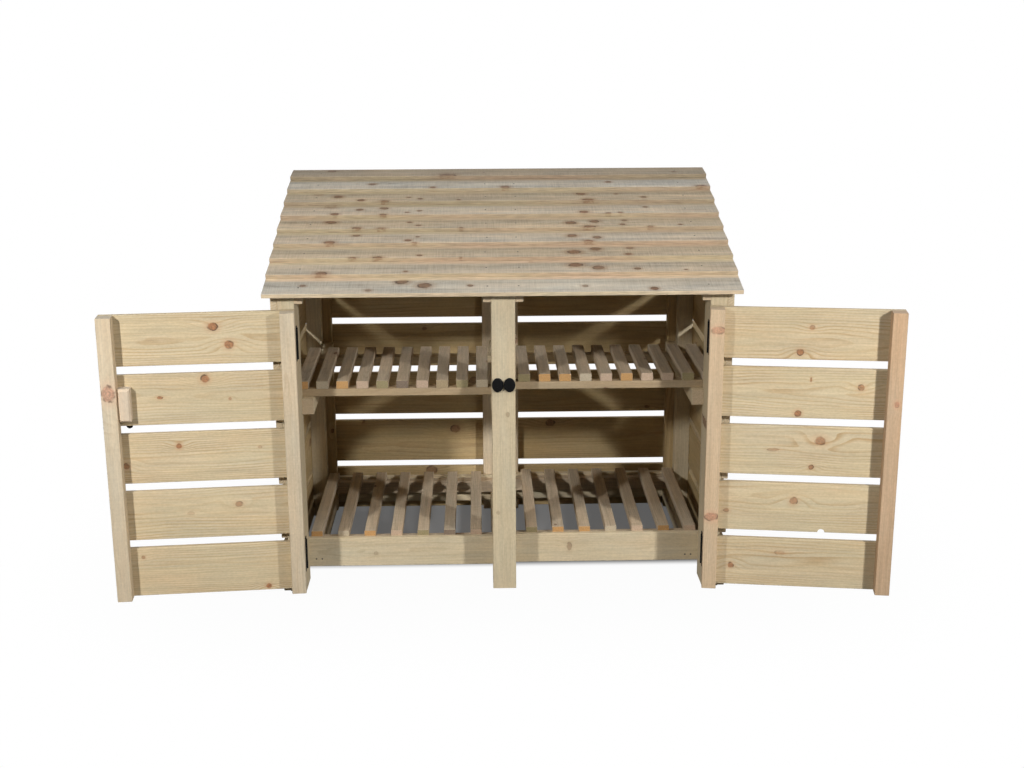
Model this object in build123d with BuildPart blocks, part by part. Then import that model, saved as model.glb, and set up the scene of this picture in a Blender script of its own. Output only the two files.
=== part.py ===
from build123d import *
from math import cos, radians, sin, tan
import os

# Garden log store: a lean-to timber frame with two open bays, a half-depth shelf in each bay,
# a lapped feather-edge roof and two ledged doors that stand open on butt hinges.
# Millimetres. +X is right, +Y is back, +Z is up.
# The origin is on the ground, under the middle of the front centre post.

# Posts
opening_width = 601
corner_post_width = 53
centre_post_width = 74
front_post_depth = 104
back_post_depth = 50
edge_ease = 1.5

# Wall boards
frame_depth = 800
wall_board_width = 156.5
wall_board_gap = 25
wall_board_thickness = 20
wall_lift = 2
middle_gap = 2
back_stile_width = 64
back_stile_depth = 38
back_stile_setback = 20

# Roof
roof_pitch = 17.7
roof_line_height = 986
front_eave = 46
back_eave = 33
side_eave = 19
rafter_width = 25
rafter_depth = 40
roof_board_width = 125
front_board_exposure = 113
usual_exposure = 102
top_board_width = 96
board_butt = 14
board_feather = 5
lap_clearance = 0.2
board_ease = 1.0

# Floor of each bay
left_floor_lift = 42
right_floor_lift = 48
floor_rail_height = 98
floor_rail_thickness = 20
joist_width = 38
joist_height = 45
bearer_depth = 38
bearer_height = 45
floor_slat_width = 37
floor_slat_thickness = 25
usual_floor_slat_pitch = 87
floor_slat_start = 73
floor_slat_end_gap = 6

# Shelf of each bay
left_shelf_height = 621
right_shelf_height = 638
left_shelf_rise = 17
right_shelf_rise = 0
shelf_depth = 390
shelf_rail_depth = 38
shelf_rail_height = 25
shelf_end_gap = 3
shelf_slat_width = 38
shelf_slat_thickness = 25
usual_shelf_slat_pitch = 63.5
shelf_slat_start = 67
left_slat_overrun = 0
right_slat_overrun = 18
ledger_width = 37
ledger_height = 50
ledger_setback = 78
centre_ledger_gap = 4

# Doors
door_bottom = 22
door_top_gap = 14
door_board_width = 160
usual_door_board_gap = 27
door_board_thickness = 18
door_stile_width = 45
door_stile_depth = 45
door_hinge_gap = 6
door_free_gap = 9
knot_hole_radius = 11
knot_hole_share = 0.63
left_door_open_angle = 175
right_door_open_angle = 172

# Butt hinges
hinge_length = 100
lower_hinge_inset = 108
left_upper_hinge_inset = 109
right_upper_hinge_inset = 101
hinge_setout = 2
hinge_reveal = 6
knuckle_count = 5
knuckle_radius = 4
knuckle_clearance = 0.5
pin_radius = 1.8
pin_clearance = 0.1
leaf_thickness = 2
leaf_depth = 28

# Latch block and pull handle of the left door
block_width = 38
block_height = 104
block_depth = 36
block_bottom = 604
block_chamfer = 6
handle_height = 134
handle_bottom = 578
handle_plate_width = 20
handle_plate_height = 24
handle_plate_thickness = 3
handle_bar_radius = 6
handle_reach = 30
handle_bend = 14
handle_inset = 68

# Turn buttons on the centre post
button_width = 36
button_height = 45
button_thickness = 8
button_round = 4
button_centre_height = 682
button_spacing = 37
button_pivot_drop = 9
button_standoff = 2
button_clearance = 0.3
screw_shank_radius = 2.3
screw_head_radius = 4.5
screw_head_height = 2.2
screw_spacer_radius = 5

# Places that follow from the sizes above
front_y = -front_post_depth / 2
rail_y = front_y + front_post_depth
back_y = front_y + frame_depth
back_board_y = back_y - wall_board_thickness
back_stile_y = back_board_y - back_stile_depth
back_post_y = back_stile_y - back_post_depth
back_rail_y = back_stile_y - floor_rail_thickness
joist_y = rail_y + floor_rail_thickness
centre_half = centre_post_width / 2
post_inner_x = centre_half + opening_width
post_outer_x = post_inner_x + corner_post_width
wall_outer_x = post_outer_x + wall_board_thickness
half_gap = middle_gap / 2
roof_width = 2 * (wall_outer_x + side_eave)
slope = tan(radians(roof_pitch))
rafter_drop = rafter_depth / cos(radians(roof_pitch))
roof_length = (front_eave + frame_depth + back_eave) / cos(radians(roof_pitch))
lapped_length = roof_length - front_board_exposure - top_board_width
middle_board_count = round(lapped_length / usual_exposure)
roof_board_count = middle_board_count + 2
board_exposure = lapped_length / middle_board_count
board_step = wall_board_width + wall_board_gap
door_width = opening_width - door_hinge_gap - door_free_gap
door_top = roof_line_height - rafter_drop - door_top_gap
door_height = door_top - door_bottom
door_board_count = round((door_height + usual_door_board_gap) / (door_board_width + usual_door_board_gap))
door_board_step = (door_height - door_board_width) / (door_board_count - 1)
door_back = hinge_reveal + door_board_thickness
hinge_x = post_inner_x - door_hinge_gap + leaf_thickness
hinge_y = front_y - hinge_setout
sides = ((-1, "left"), (1, "right"))

os.makedirs("parts", exist_ok=True)


def roof_line(y):
    """Height of the rafters' top face at a depth y."""
    return roof_line_height + (y - front_y) * slope


def middle(start, end):
    """Halfway between two places."""
    return (start + end) / 2


# Posts, each with its top cut to the pitch of the roof
posts = [
    ("left_front_post", -post_outer_x, corner_post_width, front_y, front_post_depth),
    ("right_front_post", post_inner_x, corner_post_width, front_y, front_post_depth),
    ("centre_post", -centre_half, centre_post_width, front_y, front_post_depth),
    ("left_back_post", -post_outer_x, corner_post_width, back_post_y, back_post_depth),
    ("right_back_post", post_inner_x, corner_post_width, back_post_y, back_post_depth),
]
for name, post_x, post_width, post_y, post_depth in posts:
    with BuildPart() as post:
        with BuildSketch(Plane.YZ.offset(post_x)):
            with BuildLine():
                Polyline(
                    (post_y, 0),
                    (post_y + post_depth, 0),
                    (post_y + post_depth, roof_line(post_y + post_depth)),
                    (post_y, roof_line(post_y)),
                    close=True,
                )
            make_face()
        extrude(amount=post_width)
        chamfer(post.edges().filter_by(Axis.Z), edge_ease)
    post.part.label = name
    export_step(post.part, f"parts/{name}.step")

# Side walls: horizontal boards with gaps, the upper ones cut to the roof
wall_gap_count = int((roof_line(back_post_y) - wall_lift) // board_step)
for side, hand in sides:
    with BuildPart() as side_boards:
        with BuildSketch(Plane.YZ.offset(middle(side * post_outer_x, side * wall_outer_x))):
            with BuildLine():
                Polyline(
                    (front_y, wall_lift),
                    (back_y, wall_lift),
                    (back_y, roof_line(back_y)),
                    (front_y, roof_line(front_y)),
                    close=True,
                )
            make_face()
            for level in range(wall_gap_count):
                gap_z = wall_lift + level * board_step + wall_board_width
                with Locations((middle(front_y, back_y), gap_z)):
                    Rectangle(
                        frame_depth, wall_board_gap, align=(Align.CENTER, Align.MIN), mode=Mode.SUBTRACT
                    )
        extrude(amount=wall_board_thickness / 2, both=True)
        chamfer(side_boards.edges().filter_by(Axis.Y), edge_ease)
    side_boards.part.label = f"{hand}_side_boards"
    export_step(side_boards.part, f"parts/{hand}_side_boards.step")

# Back wall: two panels of boards, nailed to upright stiles whose tops carry the rafters
for side, hand in sides:
    with BuildPart() as back_boards:
        with BuildSketch(Plane.YZ.offset(side * middle(half_gap, post_outer_x))):
            with BuildLine():
                Polyline(
                    (back_board_y, wall_lift),
                    (back_y, wall_lift),
                    (back_y, roof_line(back_y) - rafter_drop),
                    (back_board_y, roof_line(back_board_y) - rafter_drop),
                    close=True,
                )
            make_face()
            for level in range(wall_gap_count):
                gap_z = wall_lift + level * board_step + wall_board_width
                with Locations((middle(back_board_y, back_y), gap_z)):
                    Rectangle(
                        wall_board_thickness,
                        wall_board_gap,
                        align=(Align.CENTER, Align.MIN),
                        mode=Mode.SUBTRACT,
                    )
        extrude(amount=(post_outer_x - half_gap) / 2, both=True)
        chamfer(back_boards.edges().filter_by(Axis.X), edge_ease)
    back_boards.part.label = f"{hand}_back_boards"
    export_step(back_boards.part, f"parts/{hand}_back_boards.step")

outer_stile_x = post_outer_x - back_stile_setback - back_stile_width / 2
inner_stile_x = half_gap + back_stile_width / 2
stile_sets = [
    ("left_back_stile", [-outer_stile_x]),
    ("right_back_stile", [outer_stile_x]),
    ("centre_back_stiles", [-inner_stile_x, inner_stile_x]),
]
for name, stile_places in stile_sets:
    with BuildPart() as back_stiles:
        for stile_x in stile_places:
            with BuildSketch(Plane.YZ.offset(stile_x)):
                with BuildLine():
                    Polyline(
                        (back_stile_y, wall_lift),
                        (back_board_y, wall_lift),
                        (back_board_y, roof_line(back_board_y) - rafter_drop),
                        (back_stile_y, roof_line(back_stile_y) - rafter_drop),
                        close=True,
                    )
                make_face()
            extrude(amount=back_stile_width / 2, both=True)
        chamfer(back_stiles.edges().filter_by(Axis.Z), edge_ease)
    back_stiles.part.label = name
    export_step(back_stiles.part, f"parts/{name}.step")

# Rafters, cut plumb at both ends and fixed against the posts
outer_rafter_x = post_inner_x - rafter_width / 2
centre_rafter_x = centre_half + rafter_width / 2
rafter_sets = [
    ("left_rafter", [-outer_rafter_x]),
    ("right_rafter", [outer_rafter_x]),
    ("centre_rafters", [-centre_rafter_x, centre_rafter_x]),
]
for name, rafter_places in rafter_sets:
    with BuildPart() as rafters:
        for rafter_x in rafter_places:
            with BuildSketch(Plane.YZ.offset(rafter_x)):
                with BuildLine():
                    Polyline(
                        (front_y, roof_line(front_y)),
                        (back_y, roof_line(back_y)),
                        (back_y, roof_line(back_y) - rafter_drop),
                        (front_y, roof_line(front_y) - rafter_drop),
                        close=True,
                    )
                make_face()
            extrude(amount=rafter_width / 2, both=True)
    rafters.part.label = name
    export_step(rafters.part, f"parts/{name}.step")

# Feather-edge roof boards. Each one rests its thick butt on the board below and its thin edge on
# the rafters, so its tilt follows from the board that it laps.
eave_y = front_y - front_eave
roof_plane = Plane(
    origin=(0, eave_y, roof_line(eave_y)),
    x_dir=(0, cos(radians(roof_pitch)), sin(radians(roof_pitch))),
    z_dir=(1, 0, 0),
)
board_start = 0
butt_rest = 0
for number in range(1, roof_board_count + 1):
    board_width = top_board_width if number == roof_board_count else roof_board_width
    exposure = front_board_exposure if number == 1 else board_exposure
    with BuildPart() as roof_board:
        with BuildSketch(roof_plane):
            with BuildLine():
                Polyline(
                    (board_start, butt_rest),
                    (board_start + board_width, 0),
                    (board_start + board_width, board_feather),
                    (board_start, butt_rest + board_butt),
                    close=True,
                )
            make_face()
        extrude(amount=roof_width / 2, both=True)
        chamfer(roof_board.edges().filter_by(Axis.X), board_ease)
    roof_board.part.label = f"roof_board_{number}"
    export_step(roof_board.part, f"parts/roof_board_{number}.step")
    board_fall = (butt_rest + board_butt - board_feather) / board_width
    butt_rest = butt_rest + board_butt - board_fall * exposure + lap_clearance
    board_start = board_start + exposure

# Floor: rails behind the posts, joists between the rails, bearers on the joists, slats on top
floor_lifts = ((-1, left_floor_lift), (1, right_floor_lift))
rail_sets = [
    ("floor_front_rails", rail_y, post_outer_x, floor_rail_thickness),
    ("floor_back_rails", back_rail_y, post_inner_x, floor_rail_thickness),
]
for name, floor_rail_y, rail_end_x, rail_thickness in rail_sets:
    with BuildPart() as floor_rails:
        for side, lift in floor_lifts:
            with Locations((side * middle(half_gap, rail_end_x), floor_rail_y, lift)):
                Box(
                    rail_end_x - half_gap,
                    rail_thickness,
                    floor_rail_height,
                    align=(Align.CENTER, Align.MIN, Align.MIN),
                )
        chamfer(floor_rails.edges().filter_by(Axis.X), edge_ease)
    floor_rails.part.label = name
    export_step(floor_rails.part, f"parts/{name}.step")

joist_length = back_rail_y - joist_y
outer_joist_x = post_inner_x - joist_width / 2
inner_joist_x = half_gap + joist_width / 2
joist_sets = [
    ("left_floor_joist", [(-outer_joist_x, left_floor_lift)]),
    ("right_floor_joist", [(outer_joist_x, right_floor_lift)]),
    ("centre_floor_joists", [(-inner_joist_x, left_floor_lift), (inner_joist_x, right_floor_lift)]),
]
for name, joist_places in joist_sets:
    with BuildPart() as joists:
        for joist_x, lift in joist_places:
            with Locations((joist_x, joist_y, lift)):
                Box(joist_width, joist_length, joist_height, align=(Align.CENTER, Align.MIN, Align.MIN))
        chamfer(joists.edges().filter_by(Axis.Y), edge_ease)
    joists.part.label = name
    export_step(joists.part, f"parts/{name}.step")

bearer_sets = [
    ("floor_front_bearers", joist_y),
    ("floor_back_bearers", back_rail_y - bearer_depth),
]
for name, bearer_y in bearer_sets:
    with BuildPart() as bearers:
        for side, lift in floor_lifts:
            with Locations((side * middle(half_gap, post_inner_x), bearer_y, lift + joist_height)):
                Box(
                    post_inner_x - half_gap,
                    bearer_depth,
                    bearer_height,
                    align=(Align.CENTER, Align.MIN, Align.MIN),
                )
        chamfer(bearers.edges().filter_by(Axis.X), edge_ease)
    bearers.part.label = name
    export_step(bearers.part, f"parts/{name}.step")

floor_slat_end = post_inner_x - floor_slat_end_gap
floor_slat_span = floor_slat_end - floor_slat_start - floor_slat_width
floor_slat_spaces = round(floor_slat_span / usual_floor_slat_pitch)
floor_slat_pitch = floor_slat_span / floor_slat_spaces
floor_slat_x = middle(floor_slat_start, floor_slat_end)
for (side, hand), (_, lift) in zip(sides, floor_lifts):
    with BuildPart() as floor_slats:
        with Locations((side * floor_slat_x, joist_y, lift + joist_height + bearer_height)):
            with GridLocations(floor_slat_pitch, 0, floor_slat_spaces + 1, 1):
                Box(
                    floor_slat_width,
                    joist_length,
                    floor_slat_thickness,
                    align=(Align.CENTER, Align.MIN, Align.MIN),
                )
        chamfer(floor_slats.edges().filter_by(Axis.Y), edge_ease)
    floor_slats.part.label = f"{hand}_floor_slats"
    export_step(floor_slats.part, f"parts/{hand}_floor_slats.step")

# Shelves: ledgers on the walls, rails on the ledgers, slats on the rails. The left shelf rises to
# the back, so that its back edge is level with the right one.
shelves = (
    (-1, "left", left_shelf_height, left_shelf_rise, left_slat_overrun),
    (1, "right", right_shelf_height, right_shelf_rise, right_slat_overrun),
)


def shelf_section(start_y, end_y, base, rise, thickness):
    """Corners of a shelf piece in side view: it follows the shelf's slope and has plumb ends."""
    start_z = base + rise * (start_y - rail_y) / shelf_depth
    end_z = base + rise * (end_y - rail_y) / shelf_depth
    return (
        (start_y, start_z),
        (end_y, end_z),
        (end_y, end_z + thickness),
        (start_y, start_z + thickness),
    )


shelf_start_x = half_gap + shelf_end_gap
shelf_end_x = post_outer_x - shelf_end_gap
shelf_rail_sets = [
    ("shelf_front_rails", rail_y),
    ("shelf_back_rails", rail_y + shelf_depth - shelf_rail_depth),
]
for name, shelf_rail_y in shelf_rail_sets:
    with BuildPart() as shelf_rails:
        for side, hand, height, rise, overrun in shelves:
            rail_end_y = shelf_rail_y + shelf_rail_depth
            corners = shelf_section(shelf_rail_y, rail_end_y, height, rise, shelf_rail_height)
            with BuildSketch(Plane.YZ.offset(side * middle(shelf_start_x, shelf_end_x))):
                with BuildLine():
                    Polyline(*corners, close=True)
                make_face()
            extrude(amount=(shelf_end_x - shelf_start_x) / 2, both=True)
        chamfer(shelf_rails.edges().filter_by(Axis.X), edge_ease)
    shelf_rails.part.label = name
    export_step(shelf_rails.part, f"parts/{name}.step")

shelf_back_y = rail_y + shelf_depth
for side, hand, height, rise, overrun in shelves:
    slat_span = post_inner_x + overrun - shelf_slat_start
    slat_spaces = round(slat_span / usual_shelf_slat_pitch)
    slat_base = height + shelf_rail_height
    corners = shelf_section(rail_y, shelf_back_y, slat_base, rise, shelf_slat_thickness)
    with BuildPart() as shelf_slats:
        for number in range(slat_spaces + 1):
            slat_x = side * (shelf_slat_start + number * slat_span / slat_spaces)
            with BuildSketch(Plane.YZ.offset(slat_x)):
                with BuildLine():
                    Polyline(*corners, close=True)
                make_face()
            extrude(amount=shelf_slat_width / 2, both=True)
        chamfer(shelf_slats.edges().group_by(SortBy.LENGTH)[-1], edge_ease)
    shelf_slats.part.label = f"{hand}_shelf_slats"
    export_step(shelf_slats.part, f"parts/{hand}_shelf_slats.step")

ledger_y = front_y + ledger_setback
outer_ledger_x = post_inner_x - ledger_width / 2
inner_ledger_x = (centre_ledger_gap + ledger_width) / 2
left_shelf, right_shelf = shelves
ledger_sets = [
    ("left_shelf_ledger", ledger_y, outer_ledger_x, [left_shelf]),
    ("right_shelf_ledger", ledger_y, outer_ledger_x, [right_shelf]),
    ("centre_shelf_ledgers", rail_y, inner_ledger_x, [left_shelf, right_shelf]),
]
for name, ledger_start_y, ledger_x, ledger_shelves in ledger_sets:
    with BuildPart() as ledgers:
        for side, hand, height, rise, overrun in ledger_shelves:
            corners = shelf_section(ledger_start_y, back_stile_y, height, rise, -ledger_height)
            with BuildSketch(Plane.YZ.offset(side * ledger_x)):
                with BuildLine():
                    Polyline(*corners, close=True)
                make_face()
            extrude(amount=ledger_width / 2, both=True)
        chamfer(ledgers.edges().group_by(SortBy.LENGTH)[-1], edge_ease)
    ledgers.part.label = name
    export_step(ledgers.part, f"parts/{name}.step")

# Doors, each in its own frame on the hinge axis: local x runs from the hinge to the free edge and
# "inward" is the local y that faces the bay when the door is shut
hinge_edge_x = door_hinge_gap - (post_inner_x - hinge_x)
free_edge_x = hinge_edge_x + door_width
stile_places = (
    ("hinge_stile", hinge_edge_x + door_stile_width / 2),
    ("free_stile", free_edge_x - door_stile_width / 2),
)
lower_hinge_height = door_bottom + lower_hinge_inset
knuckle_pitch = hinge_length / knuckle_count
knuckle_length = knuckle_pitch - knuckle_clearance
leaf_start = knuckle_radius + knuckle_clearance
bore_radius = pin_radius + pin_clearance
post_leaf_x = post_inner_x - hinge_x - leaf_thickness / 2
door_leaf_x = hinge_edge_x - leaf_thickness / 2
door_turns = (
    (-1, "left", left_door_open_angle, left_upper_hinge_inset),
    (1, "right", right_door_open_angle, right_upper_hinge_inset),
)
door_planes = {}

for side, hand, turn, upper_hinge_inset in door_turns:
    inward = -side
    hinge_heights = (lower_hinge_height, door_top - upper_hinge_inset)
    door_plane = Plane(
        origin=(side * hinge_x, hinge_y, 0),
        x_dir=(-side * cos(radians(turn)), -sin(radians(turn)), 0),
        z_dir=(0, 0, 1),
    )
    door_planes[hand] = door_plane

    with BuildPart(door_plane) as door_boards:
        board_y = inward * middle(hinge_reveal, door_back)
        board_z = door_bottom + door_board_width / 2
        for level in range(door_board_count):
            level_z = board_z + level * door_board_step
            with Locations((middle(hinge_edge_x, free_edge_x), board_y, level_z)):
                Box(door_width, door_board_thickness, door_board_width)
        chamfer(door_boards.edges().group_by(SortBy.LENGTH)[-1], edge_ease)
        # An edge knot has fallen out of the right door's second board
        if hand == "right":
            hole_x = hinge_edge_x + knot_hole_share * door_width
            with Locations((hole_x, board_y, door_bottom + door_board_step)):
                Cylinder(knot_hole_radius, 2 * door_board_thickness, rotation=(90, 0, 0), mode=Mode.SUBTRACT)
    door_boards.part.label = f"{hand}_door_boards"
    export_step(door_boards.part, f"parts/{hand}_door_boards.step")

    for piece, stile_x in stile_places:
        with BuildPart(door_plane) as door_stile:
            stile_y = inward * middle(door_back, door_back + door_stile_depth)
            with Locations((stile_x, stile_y, door_bottom)):
                Box(
                    door_stile_width,
                    door_stile_depth,
                    door_height,
                    align=(Align.CENTER, Align.CENTER, Align.MIN),
                )
            chamfer(door_stile.edges().filter_by(Axis.Z), edge_ease)
        door_stile.part.label = f"{hand}_door_{piece}"
        export_step(door_stile.part, f"parts/{hand}_door_{piece}.step")

    # Post halves of the two hinges: a leaf on the post, every other knuckle, and the pin
    with BuildPart(Plane((side * hinge_x, hinge_y, 0))) as post_hinges:
        for height in hinge_heights:
            with Locations((side * post_leaf_x, leaf_start, height)):
                Box(
                    leaf_thickness,
                    leaf_depth - leaf_start,
                    hinge_length,
                    align=(Align.CENTER, Align.MIN, Align.CENTER),
                )
            with Locations((0, 0, height)):
                Cylinder(pin_radius, hinge_length)
            for number in range(0, knuckle_count, 2):
                knuckle_z = height + (number - (knuckle_count - 1) / 2) * knuckle_pitch
                with Locations((0, 0, knuckle_z)):
                    Cylinder(knuckle_radius, knuckle_length)
                with Locations((side * post_leaf_x, leaf_start / 2, knuckle_z)):
                    Box(leaf_thickness, leaf_start, knuckle_length)
    post_hinges.part.label = f"{hand}_post_hinges"
    export_step(post_hinges.part, f"parts/{hand}_post_hinges.step")

    # Door halves: a leaf on the door's edge and the knuckles between, bored for the pin
    with BuildPart(door_plane) as door_hinges:
        for height in hinge_heights:
            leaf_y = inward * middle(leaf_start, leaf_depth)
            with Locations((door_leaf_x, leaf_y, height)):
                Box(leaf_thickness, leaf_depth - leaf_start, hinge_length)
            for number in range(1, knuckle_count, 2):
                knuckle_z = height + (number - (knuckle_count - 1) / 2) * knuckle_pitch
                with Locations((0, 0, knuckle_z)):
                    Cylinder(knuckle_radius, knuckle_length)
                with Locations((door_leaf_x, inward * leaf_start / 2, knuckle_z)):
                    Box(leaf_thickness, leaf_start, knuckle_length)
                with Locations((0, 0, knuckle_z)):
                    Cylinder(bore_radius, knuckle_length, mode=Mode.SUBTRACT)
    door_hinges.part.label = f"{hand}_door_hinges"
    export_step(door_hinges.part, f"parts/{hand}_door_hinges.step")

# Latch block on the inside of the left door, beside the free stile
latch_plane = door_planes["left"]
with BuildPart(latch_plane) as latch_block:
    block_x = free_edge_x - door_stile_width - block_width / 2
    with Locations((block_x, door_back, block_bottom)):
        Box(block_width, block_depth, block_height, align=(Align.CENTER, Align.MIN, Align.MIN))
    chamfer(latch_block.faces().sort_by(Axis.Y)[0].edges(), block_chamfer)
latch_block.part.label = "left_door_block"
export_step(latch_block.part, "parts/left_door_block.step")

# Pull handle outside the left door: two plates and a bent round bar between them
handle_x = free_edge_x - handle_inset
handle_top = handle_bottom + handle_height
bar_bottom = handle_bottom + handle_plate_height / 2
bar_top = handle_top - handle_plate_height / 2
plate_face = hinge_reveal - handle_plate_thickness
handle_plane = Plane(
    origin=latch_plane.from_local_coords((handle_x, plate_face, bar_bottom)),
    x_dir=-latch_plane.y_dir,
    z_dir=-latch_plane.x_dir,
)
with BuildPart() as handle:
    with BuildLine(handle_plane) as bar_line:
        FilletPolyline(
            (0, 0),
            (handle_reach, 0),
            (handle_reach, bar_top - bar_bottom),
            (0, bar_top - bar_bottom),
            radius=handle_bend,
        )
    with BuildSketch(Plane(bar_line.line @ 0, z_dir=bar_line.line % 0)):
        Circle(handle_bar_radius)
    sweep(path=bar_line.line)
    for plate_z in (0, bar_top - bar_bottom):
        plate_centre = handle_plane.from_local_coords((0, plate_z, 0))
        with BuildSketch(Plane(plate_centre, x_dir=latch_plane.x_dir, z_dir=latch_plane.y_dir)):
            Rectangle(handle_plate_width, handle_plate_height)
        extrude(amount=handle_plate_thickness)
handle.part.label = "left_door_handle"
export_step(handle.part, "parts/left_door_handle.step")

# Turn buttons: domed ovals that swing out over the edges of the shut doors, and their screws
pivot_z = button_centre_height - button_pivot_drop
button_back_y = front_y - button_standoff
button_front_y = button_back_y - button_thickness
for side, hand in sides:
    pivot_x = side * button_spacing / 2
    with BuildPart() as button:
        with BuildSketch(Plane((pivot_x, button_back_y, pivot_z), x_dir=(1, 0, 0), z_dir=(0, -1, 0))):
            with Locations((0, button_pivot_drop)):
                Ellipse(button_width / 2, button_height / 2)
            Circle(screw_shank_radius + button_clearance, mode=Mode.SUBTRACT)
        extrude(amount=button_thickness)
        fillet(button.edges().group_by(Axis.Y)[0].sort_by(SortBy.LENGTH)[-1], button_round)
    button.part.label = f"{hand}_turn_button"
    export_step(button.part, f"parts/{hand}_turn_button.step")

with BuildPart() as screws:
    screw_plane = Plane((0, front_y, pivot_z), x_dir=(1, 0, 0), z_dir=(0, -1, 0))
    shank_length = button_standoff + button_thickness + button_clearance
    with BuildSketch(screw_plane):
        with GridLocations(button_spacing, 0, 2, 1):
            Circle(screw_spacer_radius)
    extrude(amount=button_standoff - button_clearance)
    with BuildSketch(screw_plane):
        with GridLocations(button_spacing, 0, 2, 1):
            Circle(screw_shank_radius)
    extrude(amount=shank_length)
    with BuildSketch(screw_plane.offset(shank_length)):
        with GridLocations(button_spacing, 0, 2, 1):
            Circle(screw_head_radius)
    extrude(amount=screw_head_height)
    chamfer(screws.edges().group_by(Axis.Y)[0], screw_head_height / 2)
screws.part.label = "button_screws"
export_step(screws.part, "parts/button_screws.step")
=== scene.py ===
"""Looks for a lean-to timber log store: sawn, treated boards, black iron fittings, nails and screws."""

import math
import random

import bmesh
import bpy
from mathutils import Matrix, Vector
from mathutils.bvhtree import BVHTree


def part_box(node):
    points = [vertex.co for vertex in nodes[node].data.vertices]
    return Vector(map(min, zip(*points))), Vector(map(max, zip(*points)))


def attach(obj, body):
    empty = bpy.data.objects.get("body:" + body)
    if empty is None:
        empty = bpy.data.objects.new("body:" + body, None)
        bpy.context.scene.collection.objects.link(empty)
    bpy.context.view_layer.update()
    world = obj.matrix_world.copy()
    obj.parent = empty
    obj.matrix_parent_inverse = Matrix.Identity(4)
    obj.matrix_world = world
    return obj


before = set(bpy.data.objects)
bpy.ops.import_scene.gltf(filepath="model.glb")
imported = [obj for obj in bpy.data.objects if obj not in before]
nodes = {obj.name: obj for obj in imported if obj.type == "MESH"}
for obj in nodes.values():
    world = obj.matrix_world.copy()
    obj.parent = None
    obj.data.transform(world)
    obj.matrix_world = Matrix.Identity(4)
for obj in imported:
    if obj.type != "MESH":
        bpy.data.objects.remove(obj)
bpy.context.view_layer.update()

# Camera, fitted to the photograph
PHOTO_WIDTH_PX = 1024
FOCAL_PX = 1416.46
SENSOR_MM = 36.0
CAMERA_PLACE = (-0.0700, -4.3032, 1.8338)
CAMERA_YAW = 0.02261
CAMERA_PITCH = 0.26402
CAMERA_ROLL = -0.00441

# Light. The floor looks white, apart from the shade under the store, which starts behind the front rail.
# There the floor's own white glow is turned down, which paints a shadow on top of the real one.
AMBIENT = 0.02
FLOOR_HALF = 30.0
FLOOR_GREY = 0.22
SHADOW_GLOW = 0.10
NEAR_GLOW = 0.97
FULL_GLOW_AWAY = 1.0
SHADE_EDGE = 0.06
SHADE_BEHIND_RAIL = 0.11
FLASH = {"size": (0.20, 0.30), "spread": 80}
REAR = {"size": (1.20, 1.20), "power": 34}
LIGHTS = {
    "left_flash": {
        "place": (-2.25, -3.10, 2.25),
        "aim": (-1.00, 0.0, 0.60),
        "power": 20,
        **FLASH,
    },
    "right_flash": {
        "place": (2.80, -3.10, 2.25),
        "aim": (1.00, 0.0, 0.60),
        "power": 23,
        **FLASH,
    },
    "low_fill": {
        "place": (2.65, -3.20, 0.85),
        "aim": (-0.20, 0.0, 0.60),
        "size": (0.25, 0.25),
        "power": 12,
    },
    "overhead": {
        "place": (0.0, -0.80, 3.10),
        "aim": (0.0, 0.35, 1.10),
        "size": (1.60, 0.90),
        "power": 23,
    },
    "rear_left": {
        "place": (-2.70, 3.30, 1.60),
        "aim": (-0.20, 0.50, 0.60),
        **REAR,
    },
    "rear_right": {
        "place": (2.70, 3.30, 1.60),
        "aim": (0.20, 0.50, 0.60),
        **REAR,
    },
}

# How the CAD pieces repeat, in metres and degrees
ROOF_PITCH = 17.7
WALL_LIFT = 0.002
WALL_BOARD_PITCH = 0.1815
WALL_BOARD_WIDTH = 0.1565
WALL_BOARDS = 7
DOOR_BOARD_WIDTH = 0.160
DOOR_BOARDS = 5
FLOOR_SLATS = 7
FLOOR_SLAT_WIDTH = 0.037
SHELF_SLATS = 10
SHELF_SLAT_WIDTH = 0.038
HINGE_X = 0.634
HINGE_Y = -0.054
HINGE_LENGTH = 0.100
RAFTER_X = (-0.6255, -0.0495, 0.0495, 0.6255)
DOOR_TURN = {"left": 175, "right": 172}
SIDE = {"left": -1, "right": 1}

X_AXIS = Vector((1, 0, 0))
Y_AXIS = Vector((0, 1, 0))
Z_AXIS = Vector((0, 0, 1))
tilt = math.radians(ROOF_PITCH)
UP_SLOPE = Vector((0, math.cos(tilt), math.sin(tilt)))

DRAW_SEED = 7
draw = random.Random(DRAW_SEED)


def rgb(red, green, blue):
    """A linear colour."""
    return (red, green, blue, 1.0)


# Shader graph helper

NOISE_MIDDLE = 0.5


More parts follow.
